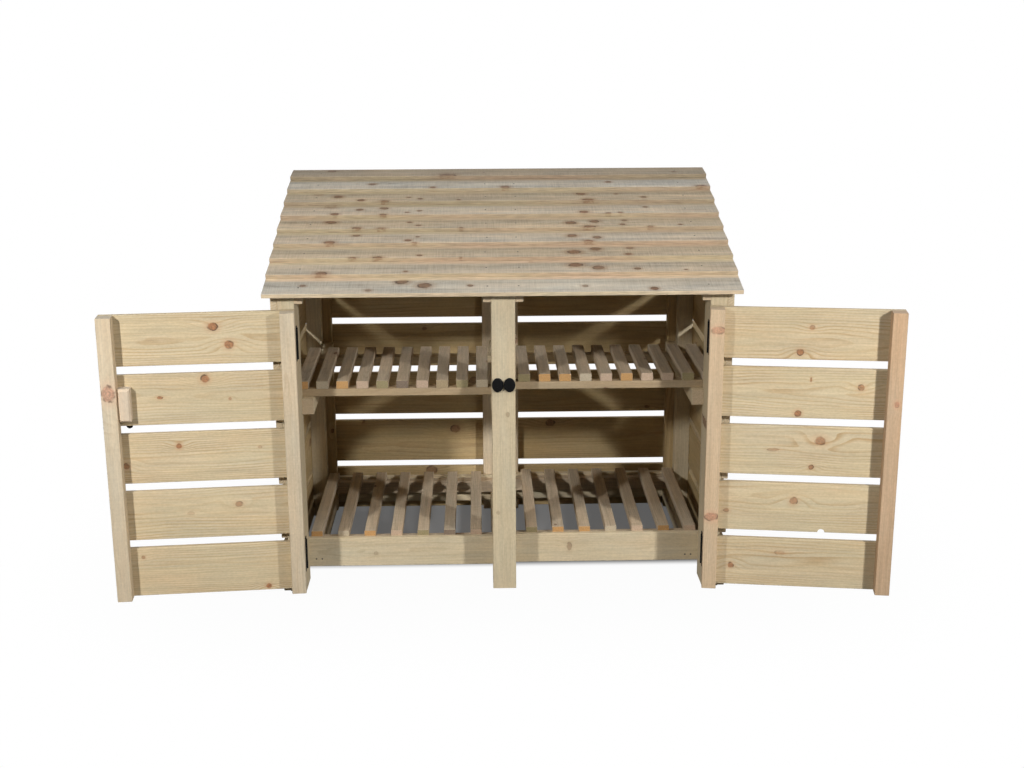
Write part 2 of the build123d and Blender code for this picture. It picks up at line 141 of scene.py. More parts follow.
class Graph:
    """A node tree that is built by calls."""

    def __init__(self, tree):
        self.tree = tree

    def node(self, kind, **settings):
        made = self.tree.nodes.new(kind)
        for name, value in settings.items():
            setattr(made, name, value)
        return made

    def feed(self, socket, value):
        if isinstance(value, bpy.types.NodeSocket):
            self.tree.links.new(value, socket)
        else:
            socket.default_value = value

    def fill(self, made, values):
        """Feeds a node's sockets in order and returns its outputs."""
        for socket, value in zip(made.inputs, values):
            self.feed(socket, value)
        return made.outputs

    def math(self, operation, *values, clamp=False):
        made = self.node("ShaderNodeMath", operation=operation, use_clamp=clamp)
        return self.fill(made, values)[0]

    def vector(self, operation, *values):
        made = self.node("ShaderNodeVectorMath", operation=operation)
        return self.fill(made, values)["Value" if operation in ("DOT_PRODUCT", "LENGTH") else "Vector"]

    def scale(self, vector, factor):
        made = self.node("ShaderNodeVectorMath", operation="SCALE")
        self.feed(made.inputs[0], vector)
        self.feed(made.inputs["Scale"], factor)
        return made.outputs["Vector"]

    def combine(self, *values):
        return self.fill(self.node("ShaderNodeCombineXYZ"), values)[0]

    def split(self, vector):
        return self.fill(self.node("ShaderNodeSeparateXYZ"), (vector,))

    def step(self, value, low, high, start=0.0, end=1.0):
        """A smooth change from start to end while a value goes from low to high."""
        made = self.node("ShaderNodeMapRange", interpolation_type="SMOOTHSTEP")
        return self.fill(made, (value, low, high, start, end))[0]

    def fade(self, value, low, high):
        """1 below a range, falling to 0 above it."""
        return self.step(value, low, high, 1.0, 0.0)

    def noise(self, vector, stretch, detail=2.0, roughness=0.5):
        """Noise from 0 to 1, with so many features to the metre along each axis."""
        made = self.node("ShaderNodeTexNoise")
        self.feed(made.inputs["Vector"], self.vector("MULTIPLY", vector, stretch))
        made.inputs["Scale"].default_value = 1.0
        made.inputs["Detail"].default_value = detail
        made.inputs["Roughness"].default_value = roughness
        return made.outputs[0]

    def sway(self, vector, stretch, amount, detail=1.0):
        """Noise round zero."""
        round_zero = self.math("SUBTRACT", self.noise(vector, stretch, detail), NOISE_MIDDLE)
        return self.math("MULTIPLY", round_zero, amount)

    def nudge(self, value, noise, amount):
        """A value that noise moves up and down."""
        return self.math("MULTIPLY_ADD", self.math("SUBTRACT", noise, NOISE_MIDDLE), amount, value)

    def luck(self, value):
        """Three random numbers that follow from one."""
        made = self.node("ShaderNodeTexWhiteNoise", noise_dimensions="1D")
        self.feed(made.inputs["W"], value)
        return made.outputs["Color"]

    def mix(self, factor, first, second, blend="MIX"):
        made = self.node("ShaderNodeMix", data_type="RGBA", blend_type=blend)
        self.feed(made.inputs["Factor"], factor)
        colours = [socket for socket in made.inputs if socket.type == "RGBA"]
        self.feed(colours[0], first)
        self.feed(colours[1], second)
        return next(socket for socket in made.outputs if socket.type == "RGBA")

    def group(self, tree, fed):
        made = self.node("ShaderNodeGroup", node_tree=tree)
        for name, value in fed.items():
            self.feed(made.inputs[name], value)
        return made.outputs


def new_group(name, inputs, outputs):
    """An empty node group: its tree, its graph, what it is given and what it hands on."""
    tree = bpy.data.node_groups.new(name, "ShaderNodeTree")
    kinds = {"vector": "NodeSocketVector", "float": "NodeSocketFloat", "colour": "NodeSocketColor"}
    for socket, kind in inputs.items():
        tree.interface.new_socket(socket, in_out="INPUT", socket_type=kinds[kind])
    for socket, kind in outputs.items():
        tree.interface.new_socket(socket, in_out="OUTPUT", socket_type=kinds[kind])
    g = Graph(tree)
    return tree, g, g.node("NodeGroupInput").outputs, g.node("NodeGroupOutput").inputs


# One knot, added to the knots found so far. A knot is a branch that runs through the board's thickness. Its
# parts start and end at shares of its radius, and the rings swell in a drawn-out leaf round it.

KNOT_TRAIL = {"Core": "float", "Rim": "float", "Halo": "float", "Bulge": "float", "Reach": "float"}
NO_KNOTS = {"Core": 0.0, "Rim": 0.0, "Halo": 0.0, "Bulge": 0.0, "Reach": 99.0}
CORE_END_SHARES = (0.75, 1.08)
RIM_START_SHARES = (0.66, 0.92)
RIM_END_SHARES = (0.96, 1.2)
HALO_END_SHARES = (0.7, 2.4)
BULGE_END_SHARES = (0.0, 3.0)
KNOT_LEAF = (0.42, 1.0, 1.0)
IN_THE_FACE = (1, 1, 0)


def knot_group():
    inputs = {
        "Place": "vector",
        "Ragged": "float",
        "Centre": "vector",
        "Size": "vector",
        "Strength": "float",
    }
    tree, g, given, handed = new_group("knot", {**inputs, **KNOT_TRAIL}, KNOT_TRAIL)
    strength = given["Strength"]
    away = g.vector("MULTIPLY", g.vector("SUBTRACT", given["Place"], given["Centre"]), IN_THE_FACE)
    radii = g.vector("DIVIDE", away, given["Size"])
    reach = g.math("ADD", g.vector("LENGTH", radii), given["Ragged"])
    core = g.math("MULTIPLY", g.fade(reach, *CORE_END_SHARES), strength)
    rim = g.math("MULTIPLY", g.step(reach, *RIM_START_SHARES), g.fade(reach, *RIM_END_SHARES))
    rim = g.math("MULTIPLY", rim, strength)
    halo = g.math("MULTIPLY", g.fade(reach, *HALO_END_SHARES), strength)
    length, width, _ = g.split(given["Size"])
    drawn_out = g.vector("LENGTH", g.vector("MULTIPLY", radii, KNOT_LEAF))
    bulge = g.math("MULTIPLY", g.fade(drawn_out, *BULGE_END_SHARES), g.math("MINIMUM", length, width))
    bulge = g.math("MULTIPLY", bulge, strength)
    g.feed(handed["Core"], g.math("MAXIMUM", core, given["Core"]))
    g.feed(handed["Rim"], g.math("MAXIMUM", rim, given["Rim"]))
    g.feed(handed["Halo"], g.math("MAXIMUM", halo, given["Halo"]))
    g.feed(handed["Bulge"], g.math("ADD", bulge, given["Bulge"]))
    g.feed(handed["Reach"], g.math("MINIMUM", reach, given["Reach"]))
    return tree


KNOT = knot_group()
KNOT_CELL = (0.27, 0.12, 0.9)
LEAST_KNOT_SHARE = 0.4
KNOT_SPREAD_SHARE = 0.8
KNOT_LENGTH_SHARE = 1.3
FAINTEST_KNOT = 0.5


def scattered_group():
    """Knots at random: one to a stretched cell, some cells empty."""
    inputs = {
        "Place": "vector",
        "Ragged": "float",
        "Shift": "vector",
        "Share": "float",
        "Radius": "float",
    }
    tree, g, given, handed = new_group("scattered_knots", inputs, KNOT_TRAIL)
    cell = g.vector("ADD", g.vector("DIVIDE", given["Place"], KNOT_CELL), given["Shift"])
    cells = g.node("ShaderNodeTexVoronoi", voronoi_dimensions="3D", feature="F1")
    g.feed(cells.inputs["Vector"], cell)
    cells.inputs["Scale"].default_value = 1.0
    away = g.vector("MULTIPLY", g.vector("SUBTRACT", cells.outputs["Position"], cell), KNOT_CELL)
    chance, size, darkness = g.split(cells.outputs["Color"])
    size_share = g.math("MULTIPLY_ADD", size, KNOT_SPREAD_SHARE, LEAST_KNOT_SHARE)
    radius = g.math("MULTIPLY", size_share, given["Radius"])
    strength = g.math("MULTIPLY_ADD", darkness, 1 - FAINTEST_KNOT, FAINTEST_KNOT)
    found = g.group(
        KNOT,
        {
            "Place": given["Place"],
            "Ragged": given["Ragged"],
            "Centre": g.vector("ADD", given["Place"], away),
            "Size": g.combine(g.math("MULTIPLY", radius, KNOT_LENGTH_SHARE), radius, 1.0),
            "Strength": g.math("MULTIPLY", g.math("LESS_THAN", chance, given["Share"]), strength),
            **NO_KNOTS,
        },
    )
    for name in KNOT_TRAIL:
        g.feed(handed[name], found[name])
    return tree


SCATTERED = scattered_group()


# Sawn softwood: growth rings, knots, fibre, saw lines, stain of the treatment, end grain

# Marks: features to the metre along, across and through a board, then their detail and roughness. A kind's
# fineness scales the first three.
FIBRE = ((9.0, 210.0, 210.0), 4.0, 0.7)
STREAK = ((2.6, 70.0, 70.0), 3.0, 0.55)
FLECK = ((105.0, 170.0, 170.0), 2.0, 0.6)
CLOUD = ((3.0, 9.0, 9.0), 3.0, 0.55)
PATCH = ((5.0, 22.0, 22.0), 2.0)
SAW_LINES = ((330.0, 9.0, 9.0), 3.0, 0.7)
BOLD_RINGS = ((2.5, 18.0, 18.0), 2.0)
KNOT_SPECK = ((160, 160, 160), 2.0)
RIM_CRACKS = ((45, 45, 45), 1.0)
PORES = ((260.0, 260.0, 260.0), 3.0, 0.65)

# Sways: features to the metre, then the amount and the detail
LOG_SWAY = ((1.1, 4.0, 4.0), 0.05, 2.0)
RING_SWAY = ((8.0, 30.0, 30.0), 0.006, 3.0)
CAST_SWAY = ((4.0, 18.0, 18.0), 0.16, 3.0)
KNOT_OUTLINE_SWAY = ((70, 70, 70), 0.5, 2.0)

# Shifts that keep one pattern from following another
BOARD_SHIFT = 9.0
PATCH_SHIFT = (3.0, 5.0, 7.0)
CAST_SHIFT = (8.0, 2.0, 5.0)
CRACK_SHIFT = (2.0, 1.0, 4.0)

# Where a board's pith lies, in metres, and how the rings show
PITH_SIDEWAYS = 0.09
PITH_NEAREST = 0.022
PITH_SPREAD = 0.05
KNOT_SWELL = 1.35
LATE_START_SHARES = (0.45, 0.9)
LATE_END_SHARES = (0.93, 1.0)
BOLDNESS = (0.3, 0.7, 0.25, 1.0)

# Colour. A tone of two numbers is a gain and what it is added to. Other pairs are where a change starts and
# ends.
MOTTLE = 0.8
STAINED = (0.36, 0.62)
BOARD_TONE = (0.10, 0.95)
STREAK_TONE = (0.8, 0.16)
FIBRE_TONE = (0.45, 0.40)
FLECK_TONE = 0.28
CLOUD_TONE = 0.7
SAW_TONE = 0.42
KNOT_RINGS = 2.7
KNOT_RING_SHARE = 0.6
KNOT_RING_BROWN = rgb(0.17, 0.07, 0.03)
KNOT_SPECK_TONE = (0.3, 0.7, 0.7, 1.35)
CRACKED = (0.4, 0.62)
HALO_TONE = 1.6
CORE_SHARE = 0.86
RIM_SHARE = 0.85
RIM_BLACK = rgb(0.05, 0.025, 0.015)
END_RING_SHARE = 0.28
PORE_TONE = (0.7, 0.65)

# Relief and roughness
RING_RELIEF = 0.25
FIBRE_RELIEF = 0.5
STREAK_RELIEF = 0.4
KNOT_RELIEF = -0.4
FIBRE_ROUGHNESS = (0.18, 0.66)
KNOT_ROUGHNESS = -0.12


def late_wood(g, given, spot, luck):
    """How much of the late wood shows: rings round a pith off the board's face, swelling round each knot."""
    _, across, through = g.split(given["Place"])
    sideways = g.math("ADD", across, g.math("MULTIPLY_ADD", luck[1], PITH_SIDEWAYS, -PITH_SIDEWAYS / 2))
    inward = g.math("ADD", through, g.math("MULTIPLY_ADD", luck[0], PITH_SPREAD, PITH_NEAREST))
    from_pith = g.vector("LENGTH", g.combine(0.0, sideways, inward))
    from_pith = g.math("ADD", from_pith, g.sway(spot, *LOG_SWAY))
    from_pith = g.math("ADD", from_pith, g.sway(spot, *RING_SWAY))
    from_pith = g.math("MULTIPLY_ADD", given["Bulge"], KNOT_SWELL, from_pith)
    ring = g.math("FRACT", g.math("DIVIDE", from_pith, given["Ring"]))
    return g.math("MULTIPLY", g.step(ring, *LATE_START_SHARES), g.fade(ring, *LATE_END_SHARES))


def knotted(g, given, spot, colour):
    """The wood's colour with its knots: a ruddy halo, a ringed core and a rim that is dark in places."""
    knot_ring = g.math("FRACT", g.math("MULTIPLY", given["Reach"], KNOT_RINGS))
    knot = g.mix(g.math("MULTIPLY", knot_ring, KNOT_RING_SHARE), given["Knot"], KNOT_RING_BROWN)
    knot = g.scale(knot, g.step(g.noise(spot, *KNOT_SPECK), *KNOT_SPECK_TONE))
    crack = g.step(g.noise(g.vector("ADD", spot, CRACK_SHIFT), *RIM_CRACKS), *CRACKED)
    ruddy = g.scale(given["Knot"], HALO_TONE)
    colour = g.mix(g.math("MULTIPLY", given["Halo"], given["Halo Share"]), colour, ruddy)
    colour = g.mix(g.math("MULTIPLY", given["Core"], CORE_SHARE), colour, knot)
    rim = g.math("MULTIPLY", g.math("MULTIPLY", given["Rim"], crack), RIM_SHARE)
    return g.mix(rim, colour, RIM_BLACK)


def timber_group():
    inputs = {"Place": "vector", **KNOT_TRAIL}
    for name in ("Pale", "Late", "Stain", "Knot", "End Face"):
        inputs[name] = "colour"
    for name in ("Seed", "End", "Stain Share", "Grain", "Ring", "Saw", "Uneven", "Fineness", "Halo Share"):
        inputs[name] = "float"
    outputs = {"Color": "colour", "Height": "float", "Roughness": "float"}
    tree, g, given, handed = new_group("sawn_timber", inputs, outputs)
    chance = g.luck(given["Seed"])
    luck = g.split(chance)
    spot = g.vector("ADD", given["Place"], g.scale(chance, BOARD_SHIFT))
    uneven = given["Uneven"]

    late = late_wood(g, given, spot, luck)
    bold = g.step(g.noise(spot, *BOLD_RINGS), *BOLDNESS)
    marks = g.scale(spot, given["Fineness"])
    fibre = g.noise(marks, *FIBRE)
    streak = g.noise(marks, *STREAK)
    fleck = g.noise(marks, *FLECK)
    cloud = g.noise(spot, *CLOUD)
    patch = g.noise(g.vector("ADD", spot, PATCH_SHIFT), *PATCH)
    sawn = g.noise(spot, *SAW_LINES)
    warmth = g.sway(g.vector("ADD", spot, CAST_SHIFT), *CAST_SWAY)

    # Rings, then the stain of the treatment
    latewood = g.math("MULTIPLY", g.math("MULTIPLY", late, bold), given["Grain"])
    colour = g.mix(latewood, given["Pale"], given["Late"])
    stained = g.step(g.nudge(cloud, patch, MOTTLE), *STAINED)
    colour = g.mix(g.math("MULTIPLY", stained, given["Stain Share"]), colour, given["Stain"])

    # Light and dark marks, and a cast from warm to cool
    tone = g.math("MULTIPLY_ADD", luck[2], *BOARD_TONE)
    tone = g.nudge(tone, streak, g.math("MULTIPLY_ADD", uneven, *STREAK_TONE))
    tone = g.nudge(tone, fibre, g.math("MULTIPLY_ADD", uneven, *FIBRE_TONE))
    tone = g.nudge(tone, fleck, FLECK_TONE)
    tone = g.nudge(tone, cloud, g.math("MULTIPLY", uneven, CLOUD_TONE))
    tone = g.nudge(tone, patch, uneven)
    saw_lines = g.math("MULTIPLY", g.math("SUBTRACT", sawn, NOISE_MIDDLE), given["Saw"])
    tone = g.math("MULTIPLY_ADD", saw_lines, SAW_TONE, tone)
    colour = g.scale(colour, tone)
    cast = g.combine(g.math("ADD", 1.0, warmth), 1.0, g.math("SUBTRACT", 1.0, warmth))
    colour = g.vector("MULTIPLY", colour, cast)
    colour = knotted(g, given, spot, colour)

    # End grain: the rings in section, with open pores
    end_face = g.mix(g.math("MULTIPLY", late, END_RING_SHARE), given["End Face"], given["Late"])
    pores = g.noise(spot, *PORES)
    end_face = g.scale(end_face, g.math("MULTIPLY_ADD", pores, *PORE_TONE))
    colour = g.mix(given["End"], colour, end_face)

    height = g.math("MULTIPLY", late, RING_RELIEF)
    height = g.math("MULTIPLY_ADD", fibre, FIBRE_RELIEF, height)
    height = g.math("MULTIPLY_ADD", streak, STREAK_RELIEF, height)
    height = g.math("MULTIPLY_ADD", sawn, given["Saw"], height)
    height = g.math("MULTIPLY_ADD", given["Core"], KNOT_RELIEF, height)
    rough = g.math("MULTIPLY_ADD", fibre, *FIBRE_ROUGHNESS)
    rough = g.math("MULTIPLY_ADD", given["Core"], KNOT_ROUGHNESS, rough)
    g.feed(handed["Color"], colour)
    g.feed(handed["Height"], height)
    g.feed(handed["Roughness"], rough)
    return tree


SAWN = timber_group()

RED_KNOT = rgb(0.36, 0.145, 0.058)
BROWN_KNOT = rgb(0.20, 0.105, 0.055)
PINK_KNOT = rgb(0.55, 0.27, 0.18)
DARK_KNOT = rgb(0.17, 0.082, 0.034)

# Kinds of timber on the part, where they differ from the usual
USUAL = {"Fineness": 1.0, "Halo Share": 0.26, "End Face": rgb(0.60, 0.49, 0.33), "Knot": BROWN_KNOT}
KINDS = {
    "door": {
        "Pale": rgb(0.65, 0.53, 0.345),
        "Late": rgb(0.49, 0.325, 0.16),
        "Stain": rgb(0.58, 0.475, 0.295),
        "Stain Share": 0.55,
        "Grain": 0.9,
        "Ring": 0.0066,
        "Saw": 0.0,
        "Uneven": 0.22,
        "Knot": RED_KNOT,
    },
    "stile": {
        "Pale": rgb(0.66, 0.545, 0.385),
        "Late": rgb(0.50, 0.37, 0.23),
        "Stain": rgb(0.60, 0.48, 0.325),
        "Stain Share": 0.5,
        "Grain": 0.42,
        "Ring": 0.0048,
        "Saw": 0.25,
        "Uneven": 0.14,
        "Knot": PINK_KNOT,
        "End Face": rgb(0.52, 0.45, 0.34),
    },
    "post": {
        "Pale": rgb(0.63, 0.525, 0.355),
        "Late": rgb(0.46, 0.35, 0.20),
        "Stain": rgb(0.57, 0.465, 0.295),
        "Stain Share": 0.5,
        "Grain": 0.4,
        "Ring": 0.005,
        "Saw": 0.25,
        "Uneven": 0.16,
        "End Face": rgb(0.58, 0.45, 0.30),
    },
    # Side boards, back boards and back corner stiles: darker and browner than the doors, partly their own
    # colour and partly painted shade for the store's dark inside.
    "wall": {
        "Pale": rgb(0.51, 0.38, 0.20),
        "Late": rgb(0.32, 0.205, 0.09),
        "Stain": rgb(0.43, 0.315, 0.15),
        "Stain Share": 0.55,
        "Grain": 0.6,
        "Ring": 0.0080,
        "Saw": 0.12,
        "Uneven": 0.2,
    },
    "slat": {
        "Pale": rgb(0.58, 0.47, 0.335),
        "Late": rgb(0.39, 0.295, 0.195),
        "Stain": rgb(0.475, 0.37, 0.25),
        "Stain Share": 0.6,
        "Grain": 0.45,
        "Ring": 0.0045,
        "Saw": 0.9,
        "Uneven": 0.5,
    },
    "roof": {
        "Pale": rgb(0.61, 0.535, 0.43),
        "Late": rgb(0.42, 0.335, 0.235),
        "Stain": rgb(0.52, 0.435, 0.325),
        "Stain Share": 0.6,
        "Grain": 0.45,
        "Ring": 0.0060,
        "Saw": 1.5,
        "Uneven": 0.85,
        "Fineness": 0.5,
        "Knot": DARK_KNOT,
        "Halo Share": 0.55,
        "End Face": rgb(0.52, 0.43, 0.31),
    },
}

# Materials on nodes

WELD_WITHIN = 0.00002
WORN_EDGE = 0.0012
WORN_FROM_ANGLE = 40
WOOD_SPECULAR = 0.25
WOOD_BUMP = (0.45, 0.0012)
LANE_SEED = 1.37
SEED_RANGE = 100
KNOT_SEED = 0.5
KNOT_SHIFT = 40.0
END_FACING = (0.75, 0.95)


def new_material(name):
    """A new material: itself, its graph and its shader."""
    material = bpy.data.materials.new(name)
    material.use_nodes = True
    tree = material.node_tree
    return material, Graph(tree), tree.nodes["Principled BSDF"]


def emboss(g, shader, height, strength, distance):
    """Bump from a height."""
    bump = g.node("ShaderNodeBump")
    bump.inputs["Strength"].default_value = strength
    bump.inputs["Distance"].default_value = distance
    g.feed(bump.inputs["Height"], height)
    g.feed(shader.inputs["Normal"], bump.outputs[0])


def new_object(name, data):
    """A new object in the scene."""
    made = bpy.data.objects.new(name, data)
    bpy.context.scene.collection.objects.link(made)
    return made


def dress(node, material):
    piece = nodes[node]
    piece.data.materials.clear()
    piece.data.materials.append(material)


def wear_edges(node):
    """Takes the knife edge off a node's sharp corners."""
    piece = nodes[node]
    weld = piece.modifiers.new("weld", "WELD")
    weld.merge_threshold = WELD_WITHIN
    worn = piece.modifiers.new("worn_edges", "BEVEL")
    worn.width = WORN_EDGE
    worn.segments = 2
    worn.limit_method = "ANGLE"
    worn.angle_limit = math.radians(WORN_FROM_ANGLE)


def by_lane(g, lane, colours):
    """A colour for each lane."""
    ramp = g.node("ShaderNodeValToRGB")
    ramp.color_ramp.interpolation = "CONSTANT"
    stops = ramp.color_ramp.elements
    while len(stops) < len(colours):
        stops.new(1.0)
    for number, colour in enumerate(colours):
        stops[number].position = number / len(colours)
        stops[number].color = colour
    lane_middle = g.math("ADD", lane, 0.5)
    g.feed(ramp.inputs[0], g.math("DIVIDE", lane_middle, len(colours)))
    return ramp.outputs["Color"]


# The freshly cut lower edge of a roof board. Below the next board's edge, a strip in that edge's colour, and
# below the strip a band of painted contact shade and dirt.

BUTT_YELLOW = rgb(0.57, 0.47, 0.305)
BUTT_PINK = rgb(0.57, 0.42, 0.285)
BUTT_KNOT = rgb(0.30, 0.165, 0.085)
BUTT_FACING = (0.6, 0.85)
BUTT_SHARE = 0.85
BUTT_CLOUD = ((1.5, 9.0, 9.0), 2.0)
BUTT_PINKNESS = (0.35, 0.65)
BUTT_FIBRE = ((22, 250, 250), 3.0)
BUTT_FIBRE_TONE = (0.25, 0.75, 0.72, 1.12)
BUTT_BRANCH = ((60, 60, 160), 2.0)
BUTT_BRANCH_SHARES = (0.42, 0.6, 0.0, 0.55)
LAP_WANDER = ((6.0, 40.0, 40.0), 0.008, 2.0)
# A strip just below the next board's edge, in that edge's colour.
LAP_STRIP_FROM = 0.024
LAP_STRIP_WHOLE_FROM = 0.010
LAP_STRIP_SHARE = 0.85
# Painted contact shade and dirt: a band that darkens the face towards the next board's edge.
LAP_SHADE_FROM = 0.070
LAP_SHADE_WHOLE_FROM = 0.026
LAP_SHADE_DEPTH = 0.12


def lapped(g, coords, colour, core, up_board, butt, butt_tone, lap, lap_tone):
    """A roof board's colour with its lower edge, and below the board that laps over it a strip in the edge's
    colour and a band of painted contact shade and dirt.
    """
    spot = coords["Object"]
    front = g.step(g.vector("DOT_PRODUCT", coords["Normal"], tuple(butt)), *BUTT_FACING)
    edge = g.mix(g.step(g.noise(spot, *BUTT_CLOUD), *BUTT_PINKNESS), BUTT_YELLOW, BUTT_PINK)
    edge = g.scale(edge, g.step(g.noise(spot, *BUTT_FIBRE), *BUTT_FIBRE_TONE))
    branch = g.step(g.noise(spot, *BUTT_BRANCH), *BUTT_BRANCH_SHARES)
    edge = g.mix(g.math("MULTIPLY", core, branch), edge, BUTT_KNOT)
    wander = g.math("ADD", up_board, g.sway(spot, *LAP_WANDER))
    lap_strip = g.step(wander, lap - LAP_STRIP_FROM, lap - LAP_STRIP_WHOLE_FROM, 0.0, LAP_STRIP_SHARE)
    # Painted contact shade and dirt, darkening the face below the next board's edge.
    lap_shade = g.math("MULTIPLY", g.step(wander, lap - LAP_SHADE_FROM, lap - LAP_SHADE_WHOLE_FROM), LAP_SHADE_DEPTH)
    colour = g.scale(colour, g.math("SUBTRACT", 1.0, lap_shade))
    colour = g.mix(lap_strip, colour, g.scale(edge, lap_tone))
    return g.mix(g.math("MULTIPLY", front, BUTT_SHARE), colour, g.scale(edge, butt_tone))


def timber(
    node,
    kind,
    along,
    across,
    lanes=1,
    start=None,
    pitch=None,
    origin=Vector((0, 0, 0)),
    knots=(),
    knot_share=0.0,
    knot_radius=0.011,
    butt=None,
    butt_tone=1.0,
    lap=None,
    lap_tone=1.0,
    ends=None,
    tint=None,
    log=0.0,
):
    """Paints a CAD node as sawn timber.

    The grain runs along one direction. Across is the width of a board; equal boards follow one another
    across as lanes, and each lane has its own luck. Knots are given as (along, across, long radius, wide
    radius, strength) from the origin, or are scattered by a share of cells. Butt is the direction that a
    board's freshly cut edge faces, lap how far up from the origin the next board starts, with a strip in the
    edge's colour below it and a band of painted contact shade and dirt below that, ends are end-grain
    colours by lane, tint multiplies the wood's colour, and another log gives other rings.
    """
    through = along.cross(across)
    low, high = (Vector(corner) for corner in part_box(node))
    centre = (low + high) / 2
    width = sum(abs(part) * size for part, size in zip(across, high - low))
    if start is None:
        start = (centre - origin).dot(across) - width / 2
    if pitch is None:
        pitch = width / lanes
    material, g, shader = new_material(f"{node}_timber")
    coords = g.node("ShaderNodeTexCoord").outputs
    spot = g.vector("SUBTRACT", coords["Object"], tuple(origin))
    u = g.vector("DOT_PRODUCT", spot, tuple(along))
    v = g.vector("DOT_PRODUCT", spot, tuple(across))
    w = g.math("SUBTRACT", g.vector("DOT_PRODUCT", spot, tuple(through)), (centre - origin).dot(through))
    lane = g.math("FLOOR", g.math("DIVIDE", g.math("SUBTRACT", v, start), pitch))
    lane_centre = g.math("MULTIPLY_ADD", lane, pitch, start + pitch / 2)
    place = g.combine(u, g.math("SUBTRACT", v, lane_centre), w)
    seed = g.math("MULTIPLY_ADD", lane, LANE_SEED, draw.uniform(0, SEED_RANGE) + log)
    facing = g.math("ABSOLUTE", g.vector("DOT_PRODUCT", coords["Normal"], tuple(along)))

    trail = NO_KNOTS
    ragged = g.sway(coords["Object"], *KNOT_OUTLINE_SWAY)
    if knot_share:
        shift = g.scale(g.luck(g.math("ADD", seed, KNOT_SEED)), KNOT_SHIFT)
        fed = {"Place": place, "Ragged": ragged, "Shift": shift, "Share": knot_share, "Radius": knot_radius}
        found = g.group(SCATTERED, fed)
        trail = {name: found[name] for name in KNOT_TRAIL}
    flat = g.combine(u, v, 0.0)
    for knot_u, knot_v, long_radius, wide_radius, strength in knots:
        fed = {"Place": flat, "Ragged": ragged, "Centre": (knot_u, knot_v, 0)}
        fed.update({"Size": (long_radius, wide_radius, 1), "Strength": strength}, **trail)
        found = g.group(KNOT, fed)
        trail = {name: found[name] for name in KNOT_TRAIL}

    fed = {"Place": place, "Seed": seed, "End": g.step(facing, *END_FACING), **trail, **USUAL, **KINDS[kind]}
    if ends is not None:
        fed["End Face"] = by_lane(g, lane, ends)
    grain = g.group(SAWN, fed)
    colour = grain["Color"]
    if tint is not None:
        colour = g.mix(1.0, colour, tint, "MULTIPLY")
    if butt is not None:
        colour = lapped(g, coords, colour, trail["Core"], v, butt, butt_tone, lap, lap_tone)
    g.feed(shader.inputs["Base Color"], colour)
    g.feed(shader.inputs["Roughness"], grain["Roughness"])
    shader.inputs["Specular IOR Level"].default_value = WOOD_SPECULAR
    emboss(g, shader, grain["Height"], *WOOD_BUMP)
    dress(node, material)
    wear_edges(node)


# Timber of the frame

CENTRE_POST_KNOTS = ((0.585, 0.012, 0.008, 0.006, 0.35), (0.26, -0.02, 0.007, 0.006, 0.3))
FRONT_RAIL_KNOTS = ((0.215, 0.10, 0.008, 0.016, 0.5), (-0.42, 0.085, 0.008, 0.006, 0.3))
SHELF_RAIL_TINT = rgb(0.65, 0.585, 0.53)
WALL_LANES = {"start": WALL_LIFT, "pitch": WALL_BOARD_PITCH, "knot_share": 0.4, "knot_radius": 0.013}
for node in ("left_front_post", "right_front_post", "left_back_post", "right_back_post"):
    timber(node, "post", Z_AXIS, X_AXIS, knot_share=0.25)
timber("centre_post", "post", Z_AXIS, X_AXIS, knots=CENTRE_POST_KNOTS)
for node in ("left_back_stile", "right_back_stile"):
    timber(node, "wall", Z_AXIS, X_AXIS, knot_share=0.2)
timber("centre_back_stiles", "stile", Z_AXIS, X_AXIS, lanes=2, knot_share=0.2)
for node in ("left_side_boards", "right_side_boards"):
    timber(node, "wall", Y_AXIS, Z_AXIS, **WALL_LANES)
for node in ("left_back_boards", "right_back_boards"):
    timber(node, "wall", X_AXIS, Z_AXIS, **WALL_LANES)
timber("floor_front_rails", "post", X_AXIS, Z_AXIS, knots=FRONT_RAIL_KNOTS)
for node in ("floor_back_rails", "shelf_back_rails"):
    timber(node, "post", X_AXIS, Z_AXIS, knot_share=0.3)
timber("shelf_front_rails", "post", X_AXIS, Z_AXIS, knot_share=0.3, tint=SHELF_RAIL_TINT)
for node in ("floor_front_bearers", "floor_back_bearers"):
    timber(node, "slat", X_AXIS, Z_AXIS, knot_share=0.2)
for node in ("left_floor_joist", "right_floor_joist", "left_shelf_ledger", "right_shelf_ledger"):
    timber(node, "post", Y_AXIS, X_AXIS, knot_share=0.2)
for node in ("centre_floor_joists", "centre_shelf_ledgers"):
    timber(node, "post", Y_AXIS, X_AXIS, lanes=2, knot_share=0.2)

ORANGE = rgb(0.52, 0.29, 0.11)
PALE = rgb(0.50, 0.42, 0.30)
PINK = rgb(0.52, 0.38, 0.27)
OLIVE = rgb(0.30, 0.25, 0.13)
TAN = rgb(0.38, 0.29, 0.17)
BROWN = rgb(0.20, 0.15, 0.11)
SLAT_ENDS = {
    "left": (ORANGE, PALE, ORANGE, PINK, OLIVE, BROWN, PINK, TAN, OLIVE, PALE),
    "right": (OLIVE, ORANGE, ORANGE, PALE, PINK, ORANGE, PINK, PINK, OLIVE, PINK),
}
SLAT_ROWS = {"floor": (FLOOR_SLATS, FLOOR_SLAT_WIDTH), "shelf": (SHELF_SLATS, SHELF_SLAT_WIDTH)}


def lanes_between(low, high, count, width):
    """Where the first lane starts and the lanes' pitch, for equal boards from one edge to another."""
    pitch = (high - low - width) / (count - 1)
    return low - (pitch - width) / 2, pitch


